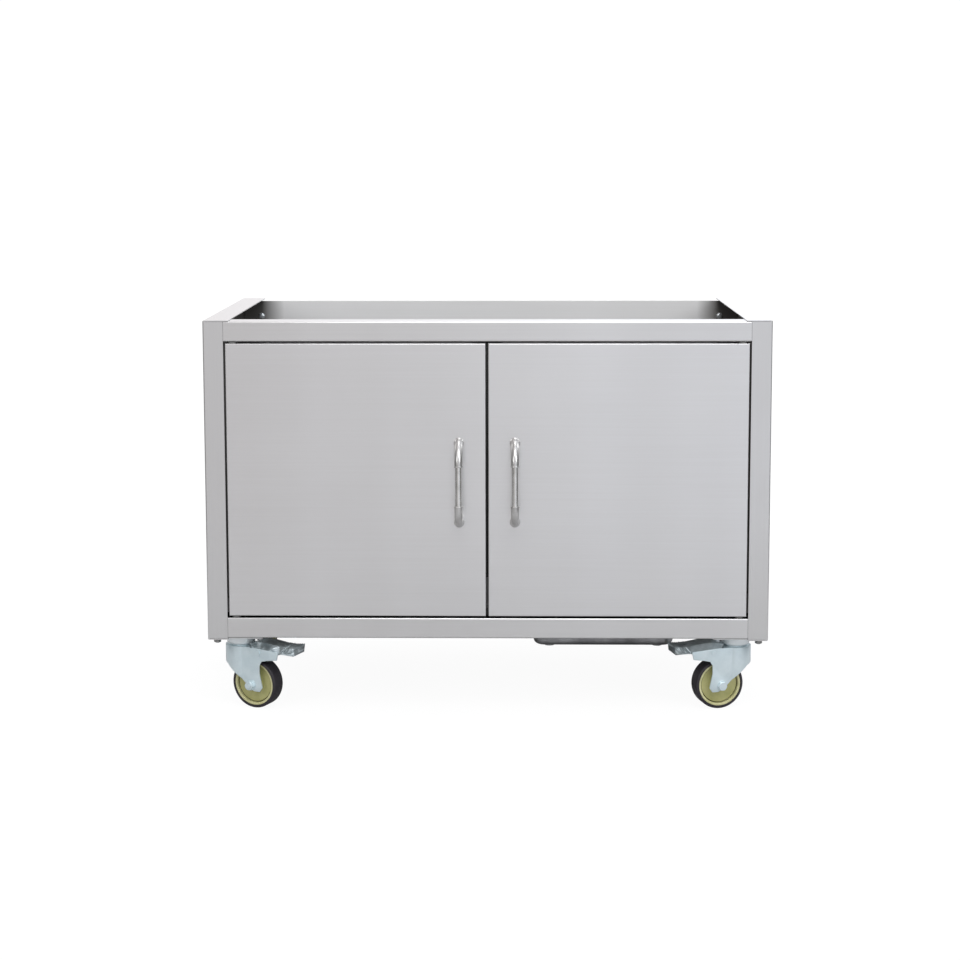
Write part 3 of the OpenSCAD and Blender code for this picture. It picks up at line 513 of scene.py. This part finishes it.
def cloudy_finish(name, dark, light, rough, metallic=1.0, scale=30.0, peel=PEEL_DEPTH):
    """Plated, cast or moulded: two tones in a cloud, with uneven sheen and a faint orange peel."""
    material, tree, shader = start_material(name, metallic)
    cloud = noise_at(tree, scaled_place(tree, UNSCALED), scale, CLOUD_DETAIL, CLOUD_ROUGHNESS)
    amount = ramp(tree, cloud, CLOUD_LOW, CLOUD_HIGH, 0, 1)
    tree.links.new(two_tone(tree, amount, dark, light), shader.inputs["Base Color"])
    marks = place_group(tree, marks_group, Low=rough[0], High=rough[1])
    tree.links.new(marks.outputs["Roughness"], shader.inputs["Roughness"])
    raise_bumps(tree, shader, noise_at(tree, scaled_place(tree, UNSCALED), PEEL_SCALE), peel, PEEL_STRENGTH)
    return material


zinc = cloudy_finish("zinc_plate", srgb(208, 224, 229), srgb(226, 239, 243), (0.28, 0.36), 0.5, 22.0)
# The caster plates take a lighter zinc than the forks as a painted highlight
cup_zinc = cloudy_finish("cup_zinc", srgb(238, 245, 247), srgb(248, 252, 253), (0.22, 0.3), 0.2, 22.0)
zinc_bright = cloudy_finish("zinc_fasteners", srgb(206, 212, 216), srgb(236, 240, 242), (0.18, 0.28), 0.6)
nut_grey = cloudy_finish("nut_grey", srgb(128, 128, 126), srgb(160, 160, 158), (0.35, 0.5))
pedal_steel = cloudy_finish("pedal_steel", srgb(178, 190, 194), srgb(214, 224, 227), (0.24, 0.38), 0.6,
                            60.0)
pan_steel = cloudy_finish("pan_steel", srgb(110, 110, 112), srgb(170, 171, 173), (0.2, 0.4), 1.0, 14.0)
mill_steel = cloudy_finish("mill_steel", srgb(158, 157, 156), srgb(178, 177, 176), (0.42, 0.55), 1.0, 5.0)
cast_steel = cloudy_finish("cast_steel", srgb(198, 197, 195), srgb(217, 216, 215), (0.29, 0.36), 1.0, 80.0)
rod_steel = cloudy_finish("rod_steel", srgb(216, 215, 212), srgb(236, 235, 233), (0.2, 0.27), 1.0, 60.0)
bush_grey = cloudy_finish("bush_grey", srgb(84, 84, 82), srgb(104, 104, 102), (0.45, 0.6), 0.0)
magnet_black = cloudy_finish("magnet_ferrite", srgb(38, 38, 40), srgb(58, 58, 60), (0.5, 0.7), 0.3)
tyre_rubber = cloudy_finish("tyre_rubber", srgb(38, 34, 40), srgb(50, 46, 52), (0.42, 0.58), 0.0, 40.0,
                            peel=0.2 * MM)
hub_olive = cloudy_finish("hub_olive", srgb(172, 171, 111), srgb(194, 191, 134), (0.35, 0.5), 0.0)
hub_ring = cloudy_finish("hub_ring", srgb(206, 203, 150), srgb(224, 221, 174), (0.3, 0.45), 0.0)
# Painted shade for the hub's groove
groove_shade = cloudy_finish("groove_shade", srgb(74, 72, 42), srgb(98, 96, 60), (0.6, 0.8), 0.0)

# %% Give the CAD pieces their finishes
FINISH_WORDS = [
    ("bolts", zinc_bright), ("nuts", nut_grey), ("screws", zinc_bright), ("side_panel", side_steel),
    ("floor_panel", mill_steel), ("liner", mill_steel), ("back_panel", back_steel), ("rail", rail_steel),
    ("skin", door_steel), ("handle_rod", rod_steel), ("handle", cast_steel), ("tank_pan", pan_steel),
    ("bushes", bush_grey), ("housings", bush_grey), ("magnets", magnet_black), ("strikes", zinc_bright),
    ("tyre", tyre_rubber), ("hub", hub_olive), ("brake_pedal", pedal_steel), ("", zinc),
]


def finish_for(name):
    """The first finish whose word is in a node's name."""
    return next(material for word, material in FINISH_WORDS if word in name)


for name, part in nodes.items():
    part.data.materials.clear()
    part.data.materials.append(finish_for(name))
print(len(bpy.data.materials), "materials")

# %% [markdown]
# ## Mesh helpers
# New pieces are built with their place in the mesh and their object at the origin, as the engineering
# model has it. The helper below also names the body that carries the piece and the node it stands for,
# so each later cell can stay short.

# %% Finished pieces
record = frame["record"]
node_body = {node: body for body, members in record["behaviour"]["bodies"].items() for node in members}


def add_piece(mesh, stands_for):
    """Puts a mesh in the scene as a piece, on the body and in the place of a node."""
    piece = bpy.data.objects.new(mesh.name, mesh)
    bpy.context.scene.collection.objects.link(piece)
    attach(piece, node_body[stands_for])
    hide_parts(stands_for)


def mesh_from(name, shape, materials, smooth_angle=35):
    """A smooth-shaded mesh with sharp creases from a bmesh, which it uses up."""
    mesh = bpy.data.meshes.new(name)
    shape.to_mesh(mesh)
    shape.free()
    for material in materials:
        mesh.materials.append(material)
    mesh.shade_smooth()
    mesh.set_sharp_from_angle(angle=math.radians(smooth_angle))
    return mesh


SAME_CORNER = 0.002 * MM


def merged_copy(node_name):
    """A copy of a node's mesh with its loose triangles joined."""
    shape = bmesh.new()
    shape.from_mesh(nodes[node_name].data)
    bmesh.ops.remove_doubles(shape, verts=shape.verts, dist=SAME_CORNER)
    return shape


# %% [markdown]
# ## Pressings with rolled edges
# Forks, pedals and caster plates are stamped from sheet, and a stamped edge is never razor sharp. They
# could be modelled anew, but the engineering shape is already right. So each is a copy of it whose flat
# faces are joined and whose sharp edges get a small rounding, because that thin bright line along an edge
# is what the eye reads as metal of real thickness.

# %% Roll the edges
FLAT, SHARP = math.radians(0.5), math.radians(40)
ROLL, PEDAL_ROLL = 0.5 * MM, 0.35 * MM


def soften(node_name, width, material):
    """Replaces a node by a copy with its sharp edges rounded."""
    shape = merged_copy(node_name)
    bmesh.ops.dissolve_limit(shape, angle_limit=FLAT, verts=shape.verts, edges=shape.edges)
    sharp = [edge for edge in shape.edges if edge.is_manifold and edge.calc_face_angle() > SHARP]
    bmesh.ops.bevel(shape, geom=sharp, offset=width, offset_type="OFFSET", segments=2, profile=0.6,
                    affect="EDGES", clamp_overlap=True)
    bmesh.ops.triangulate(shape, faces=shape.faces)
    add_piece(mesh_from(node_name + "_rolled", shape, [material], smooth_angle=50), node_name)


CASTERS = ["front_left", "front_right", "rear_left", "rear_right"]
for caster in CASTERS:
    soften(f"{caster}_fork", ROLL, zinc)
    soften(f"{caster}_caster_plate", ROLL, cup_zinc)
    soften(f"{caster}_brake_pedal", PEDAL_ROLL, pedal_steel)
print(3 * len(CASTERS), "pressings softened")

# %% [markdown]
# ## Wheels
# A caster wheel is moulded round its axle, so it is a lathe job: an outline in radius and width is spun
# round the axle. A Screw modifier spins too, but only round an object's own axis, and each axle points its
# own way. The tyre carries the fine parting line that a mould leaves along the middle of the tread. The
# hub has a disc and a lighter rim with a groove between them that is painted dark as shade, so each face
# takes one of three materials by its radius.

# %% Lathe
CORNER_SHARE, POLE_WIDTH = 0.45, 0.0005 * MM


def rounded(points, radius, steps=3):
    """A closed outline whose corners become short arcs, each taking less than half an edge."""
    out = []
    for before, corner, after in zip(points[-1:] + points[:-1], points, points[1:] + points[:1]):
        a, b, c = Vector(before), Vector(corner), Vector(after)
        cut = min(radius, CORNER_SHARE * (a - b).length, CORNER_SHARE * (c - b).length)
        start, end = b + (a - b).normalized() * cut, b + (c - b).normalized() * cut
        for step in range(steps + 1):
            t = step / steps
            out.append(tuple((1 - t) ** 2 * start + 2 * t * (1 - t) * b + t ** 2 * end))
    return out


def spin(shape, outline, place, segments, closed=True, material_at=None):
    """Spins an outline of (radius, along) round the Z axis of a placement matrix."""
    rings = []
    for index in range(segments):
        turn = 2 * math.pi * index / segments
        rings.append([shape.verts.new(place @ Vector((r * math.cos(turn), r * math.sin(turn), z)))
                      for r, z in outline])
    for near, far in zip(rings, rings[1:] + rings[:1]):
        for k in range(len(outline) if closed else len(outline) - 1):
            m = (k + 1) % len(outline)
            face = shape.faces.new((near[k], far[k], far[m], near[m]))
            if material_at:
                face.material_index = material_at(outline[k], outline[m])
    bmesh.ops.remove_doubles(shape, verts=shape.verts, dist=POLE_WIDTH)
    bmesh.ops.recalc_face_normals(shape, faces=shape.faces)


def axis_place(origin, axis):
    """Matrix that puts the Z axis on a line through a point."""
    turn = Vector(axis).normalized().to_track_quat("Z", "Y").to_matrix().to_4x4()
    return Matrix.Translation(Vector(origin)) @ turn


# %% Tyre and hub outlines, in millimetres from the wheel's centre
WHEEL_R, TYRE_HALF, HUB_R, SHOULDER = 40.0, 13.5, 35.2, 4.0
BORE_R, BOSS_R, BOSS_FOOT_R, BOSS_HALF = 6.06, 11.0, 12.5, 17.5
DISC_R, DISC_HALF, GROOVE_HALF = 30.0, 8.0, 6.5
RING_R, RING_HALF, RING_CHAMFER = 31.4, 12.2, 1.0


def mirrored_outline(half):
    """Closes a half outline with its mirror image on the other side of the wheel."""
    return [(r * MM, z * MM) for r, z in half] + [(r * MM, -z * MM) for r, z in reversed(half)]


shoulder = [(WHEEL_R - SHOULDER + SHOULDER * math.sin(a), TYRE_HALF - SHOULDER + SHOULDER * math.cos(a))
            for a in [math.radians(10 * k) for k in range(10)]]
parting_line = [(WHEEL_R, 2.0), (WHEEL_R - 0.02, 0.45), (WHEEL_R, 0.2)]
tyre_outline = mirrored_outline(
    [(HUB_R, TYRE_HALF - 0.4), (HUB_R + 0.4, TYRE_HALF)] + shoulder + parting_line)
hub_outline = rounded(mirrored_outline(
    [(BORE_R, BOSS_HALF), (BOSS_R, BOSS_HALF), (BOSS_FOOT_R, DISC_HALF), (DISC_R, DISC_HALF),
     (DISC_R, GROOVE_HALF), (RING_R, GROOVE_HALF), (RING_R, RING_HALF - RING_CHAMFER),
     (RING_R + RING_CHAMFER, RING_HALF), (HUB_R, RING_HALF)]), 0.7 * MM)
GROOVE_FROM, RING_FROM = 29.6 * MM, 31.35 * MM
DISC, RING, GROOVE = 0, 1, 2


def hub_colour(near, far):
    """Disc, ring or groove: the number of the material for a face between two outline points."""
    inner, outer = sorted((near[0], far[0]))
    if inner > RING_FROM - 0.05 * MM and outer > RING_FROM:
        return RING
    return GROOVE if inner > GROOVE_FROM else DISC


# %% Spin the wheels
for caster in CASTERS:
    joint = joints[f"{caster}_wheel_spin"]
    place = axis_place(joint["pos_m"], joint["axis"])
    tyre = bmesh.new()
    spin(tyre, tyre_outline, place, segments=128)
    add_piece(mesh_from(f"{caster}_moulded_tyre", tyre, [tyre_rubber], 40), f"{caster}_tyre")
    hub = bmesh.new()
    spin(hub, hub_outline, place, segments=96, material_at=hub_colour)
    hub_materials = [hub_olive, hub_ring, groove_shade]
    add_piece(mesh_from(f"{caster}_two_tone_hub", hub, hub_materials, 40), f"{caster}_hub")
print(len(tyre_outline), "points round the tyre,", len(hub_outline), "round the hub")

# %% [markdown]
# ## Door handles
# Each handle is a plain rod held in two cast ends. A casting flows from its round foot on the door
# through the bend to the collar that grips the rod, with no hard edge in between. A curve with a round
# bevel could make it, but in mesh code each ring is placed exactly. So it is swept: rings of points follow
# the bend, and their radius swells at the foot and at the collar.

# %% Sweep a casting
def sweep(shape, stations, across, segments=40):
    """Skins rings of given radii along a path in the plane square to across, and caps both ends."""
    rings = []
    for index, (centre, radius) in enumerate(stations):
        before = stations[max(index - 1, 0)][0]
        after = stations[min(index + 1, len(stations) - 1)][0]
        along = (after - before).normalized()
        side = along.cross(across).normalized()
        rings.append([shape.verts.new(centre + radius * (math.cos(a) * across + math.sin(a) * side))
                      for a in [2 * math.pi * k / segments for k in range(segments)]])
    for near, far in zip(rings, rings[1:]):
        for k in range(segments):
            m = (k + 1) % segments
            shape.faces.new((near[k], near[m], far[m], far[k]))
    shape.faces.new(list(reversed(rings[0])))
    shape.faces.new(rings[-1])


REACH, ELBOW_R = 38 * MM, 30 * MM
END_R, FOOT_R, COLLAR_R = 6.3 * MM, 8.6 * MM, 6.9 * MM
FOOT_CHAMFER, SWELL_POWER = 0.4 * MM, 2.2
NECK_STEPS, BEND_STEPS = 12, 24
X_AXIS = Vector((1, 0, 0))


def casting_stations(foot, up):
    """Centres and radii of a cast end, from its foot on the door to the end of its collar."""
    neck = REACH - ELBOW_R
    stations = [(foot, FOOT_R - FOOT_CHAMFER)]
    for step in range(1, NECK_STEPS + 1):
        t = step / NECK_STEPS
        swell = (FOOT_R - END_R) * (1 - t) ** SWELL_POWER
        stations.append((foot + Vector((0, -t * neck, 0)), END_R + swell))
    bend = foot + Vector((0, -neck, -up * ELBOW_R))
    for step in range(1, BEND_STEPS + 1):
        a = math.radians(90 * step / BEND_STEPS)
        stations.append((bend + Vector((0, -ELBOW_R * math.sin(a), up * ELBOW_R * math.cos(a))), END_R))
    # The collar, by millimetres below the bend
    for drop, radius in ((0.15, END_R), (0.3, COLLAR_R - 0.15 * MM), (0.6, COLLAR_R), (2.1, COLLAR_R),
                         (2.4, COLLAR_R - 0.15 * MM), (2.5, COLLAR_R - 0.45 * MM)):
        stations.append((bend + Vector((0, -ELBOW_R, -up * drop * MM)), radius))
    return stations


# %% Cast ends
for side in ("left", "right"):
    low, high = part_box(f"{side}_handle_ends")
    middle = Vector(((low.x + high.x) / 2, high.y, (low.z + high.z) / 2))
    half_centres = (high.z - low.z) / 2 - FOOT_R
    ends = bmesh.new()
    for up in (1, -1):
        sweep(ends, casting_stations(middle + Vector((0, 0, up * half_centres)), up), X_AXIS)
    bmesh.ops.recalc_face_normals(ends, faces=ends.faces)
    add_piece(mesh_from(f"{side}_cast_handle_ends", ends, [cast_steel]), f"{side}_handle_ends")
    print(side, "castings round", [round(v, 4) for v in middle])

# %% [markdown]
# ## Nuts, bolts and screws
# The cabinet is bolted together, and the same few fasteners repeat all over it. They could be duplicated
# one by one, but then every change is made many times. So each kind is modelled once, and a Geometry Nodes
# tree copies it to every place: it reads points, puts one turned instance on each, makes the instances
# real and gives them their finish. The places come from the engineering model, as the middle of each
# separate solid in a fastener node.

# %% Fastener tree
fastener_tree = bpy.data.node_groups.new("fasteners_at_points", "GeometryNodeTree")
for socket, kind in (
        ("Geometry", "NodeSocketGeometry"), ("Fastener", "NodeSocketObject"),
        ("Turn", "NodeSocketRotation"), ("Scale", "NodeSocketFloat"), ("Finish", "NodeSocketMaterial")):
    fastener_tree.interface.new_socket(socket, in_out="INPUT", socket_type=kind)
fastener_tree.interface.new_socket("Geometry", in_out="OUTPUT", socket_type="NodeSocketGeometry")
tree_in = add_node(fastener_tree, "NodeGroupInput")
tree_out = add_node(fastener_tree, "NodeGroupOutput")
to_points = add_node(fastener_tree, "GeometryNodeMeshToPoints")
pick = add_node(fastener_tree, "GeometryNodeObjectInfo")
copies = add_node(fastener_tree, "GeometryNodeInstanceOnPoints")
realize = add_node(fastener_tree, "GeometryNodeRealizeInstances")
dress = add_node(fastener_tree, "GeometryNodeSetMaterial")
for source, target in (
        (tree_in.outputs["Geometry"], to_points.inputs["Mesh"]),
        (tree_in.outputs["Fastener"], pick.inputs["Object"]),
        (to_points.outputs["Points"], copies.inputs["Points"]),
        (pick.outputs["Geometry"], copies.inputs["Instance"]),
        (tree_in.outputs["Turn"], copies.inputs["Rotation"]),
        (tree_in.outputs["Scale"], copies.inputs["Scale"]),
        (copies.outputs["Instances"], realize.inputs["Geometry"]),
        (realize.outputs["Geometry"], dress.inputs["Geometry"]),
        (tree_in.outputs["Finish"], dress.inputs["Material"]),
        (dress.outputs["Geometry"], tree_out.inputs["Geometry"])):
    fastener_tree.links.new(source, target)
print(len(fastener_tree.nodes), "nodes in the fastener tree")

# %% Fastener shapes, in millimetres
RIM_H, RIM_INSET = 0.35, 0.3
TIP, FLANK, CRESTS = 4.0, 0.4, 3
THREAD_ROOT, TIP_END = 0.86, 0.7


def dome_bolt(name, thread_r, head_r, head_h, length):
    """A round-headed bolt with its seat at height 0: dome, shank and a tip with a few thread crests."""
    climbs = [math.radians(11.25 * k) for k in range(8)]
    outline = [(head_r * math.sin(a), head_h * math.cos(a)) for a in climbs]
    outline += [(head_r, RIM_H), (head_r - RIM_INSET, 0.0), (thread_r, 0.0), (thread_r, TIP - length)]
    for crest in range(CRESTS):
        z = TIP - FLANK - length - crest
        outline += [(thread_r * THREAD_ROOT, z), (thread_r, z - FLANK)]
    outline += [(thread_r * TIP_END, -length), (0.0, -length)]
    shape = bmesh.new()
    spin(shape, [(r * MM, z * MM) for r, z in outline], Matrix.Identity(4), segments=40, closed=False)
    return bpy.data.objects.new(name, mesh_from(name, shape, []))


FLANGE_H, FLANGE_TOP = 1.0, 1.5
FOOT_BREAK, FOOT_TOP = 0.1, 0.15
CHAMFER_FROM, CHAMFER_SLOPE, TOP_SHARE = 0.98, 0.55, 0.93


def hexagon_nut(name, across_flats, height, bore, flange=None):
    """A hexagon nut with chamfered corners and, if asked, a round flange under it."""
    segments, half = 48, across_flats / 2
    turns = [2 * math.pi * k / segments for k in range(segments)]
    loops = []
    for a in turns:
        hexagon = half / math.cos((a % (math.pi / 3)) - math.pi / 6)
        chamfer = max(0.0, hexagon - half * CHAMFER_FROM) * CHAMFER_SLOPE
        foot = [(hexagon - FOOT_BREAK, 0.0), (hexagon, FOOT_TOP)]
        if flange:
            foot = [(flange, 0.0), (flange, FLANGE_H), (hexagon, FLANGE_TOP)]
        top = [(hexagon, height - chamfer), (half * TOP_SHARE, height)]
        loops.append(foot + top + [(bore, height), (bore, 0.0)])
    shape = bmesh.new()
    rings = [[shape.verts.new((r * MM * math.cos(a), r * MM * math.sin(a), z * MM)) for r, z in loop]
             for a, loop in zip(turns, loops)]
    for near, far in zip(rings, rings[1:] + rings[:1]):
        for k in range(len(near)):
            m = (k + 1) % len(near)
            shape.faces.new((near[k], far[k], far[m], near[m]))
    bmesh.ops.recalc_face_normals(shape, faces=shape.faces)
    return bpy.data.objects.new(name, mesh_from(name, shape, [], smooth_angle=25))


# %% Places of fasteners
def solid_boxes(node_name):
    """Lowest and highest corner of each separate solid of a node."""
    shape = merged_copy(node_name)
    unseen, boxes = set(shape.verts), []
    while unseen:
        stack = [unseen.pop()]
        low, high = stack[0].co.copy(), stack[0].co.copy()
        while stack:
            vert = stack.pop()
            low = Vector(map(min, low, vert.co))
            high = Vector(map(max, high, vert.co))
            for edge in vert.link_edges:
                other = edge.other_vert(vert)
                if other in unseen:
                    unseen.remove(other)
                    stack.append(other)
        boxes.append((low, high))
    shape.free()
    return sorted(boxes, key=lambda box: tuple(round(v, 4) for v in box[0]))


def middle_at(box, **ends):
    """Middle of a box, moved to its low (0) or high (1) end along the named axes."""
    point = (box[0] + box[1]) / 2
    for axis, end in ends.items():
        setattr(point, axis, getattr(box[end], axis))
    return point


def copy_fastener(name, pattern, places, turn, material, stands_for):
    """Runs the fastener tree on a cloud of places and keeps the result as a plain piece."""
    cloud = bpy.data.meshes.new(name + "_places")
    cloud.from_pydata([tuple(place) for place in places], [], [])
    carrier = bpy.data.objects.new(name + "_carrier", cloud)
    for helper in (carrier, pattern):
        bpy.context.scene.collection.objects.link(helper)
    modifier = carrier.modifiers.new("fasteners", "NODES")
    modifier.node_group = fastener_tree
    inputs = [item for item in fastener_tree.interface.items_tree if item.in_out == "INPUT"]
    identifiers = {item.name: item.identifier for item in inputs}
    for socket, value in (("Fastener", pattern), ("Turn", turn), ("Scale", 1.0), ("Finish", material)):
        modifier[identifiers[socket]] = value
    graph = bpy.context.evaluated_depsgraph_get()
    mesh = bpy.data.meshes.new_from_object(carrier.evaluated_get(graph), depsgraph=graph)
    mesh.name = name
    carrier.modifiers.remove(modifier)
    for helper in (carrier, pattern):
        bpy.data.objects.remove(helper)
    print(name, len(places), "copies,", len(mesh.polygons), "faces")
    add_piece(mesh, stands_for)


# %% Copy the fasteners to their places
HEAD_FRONT, NUT_BACK = (math.pi / 2, 0, 0), (-math.pi / 2, 0, 0)
FACE_UP, FACE_DOWN = (0, 0, 0), (math.pi, 0, 0)
BACK_HEAD_H, PLATE_HEAD_H = 3.3, 3.0
back_bolt = dome_bolt("dome_bolt", thread_r=3, head_r=5.75, head_h=BACK_HEAD_H, length=9.2)
back_nut = hexagon_nut("hex_nut", across_flats=10, height=5, bore=3.05)
floor_nut = hexagon_nut("flange_nut", across_flats=10, height=6, bore=3.05, flange=7.1)
plate_bolt = dome_bolt("plate_bolt", thread_r=4, head_r=7, head_h=PLATE_HEAD_H, length=16)
plate_nut = hexagon_nut("plate_nut", across_flats=13, height=6.5, bore=4.05)

# The end of a solid that is nearest its seat, the step from there to the seat, and the way it faces
low_y, low_z, high_z = {"y": 0}, {"z": 0}, {"z": 1}
no_step = Vector((0, 0, 0))
back_head, plate_head = Vector((0, BACK_HEAD_H * MM, 0)), Vector((0, 0, PLATE_HEAD_H * MM))
for name, node_name, pattern, end, step, turn, material in (
        ("back_panel_dome_bolts", "back_panel_bolts", back_bolt, low_y, back_head, HEAD_FRONT, zinc_bright),
        ("back_panel_hex_nuts", "back_panel_nuts", back_nut, low_y, no_step, NUT_BACK, zinc_bright),
        ("floor_hex_flange_nuts", "floor_flange_nuts", floor_nut, high_z, no_step, FACE_DOWN, nut_grey),
        ("caster_plate_dome_bolts", "caster_plate_bolts", plate_bolt, low_z, plate_head, FACE_DOWN,
         zinc_bright),
        ("caster_plate_hex_nuts", "caster_plate_nuts", plate_nut, low_z, no_step, FACE_UP, zinc_bright)):
    places = [middle_at(box, **end) + step for box in solid_boxes(node_name)]
    copy_fastener(name, pattern, places, turn, material, node_name)
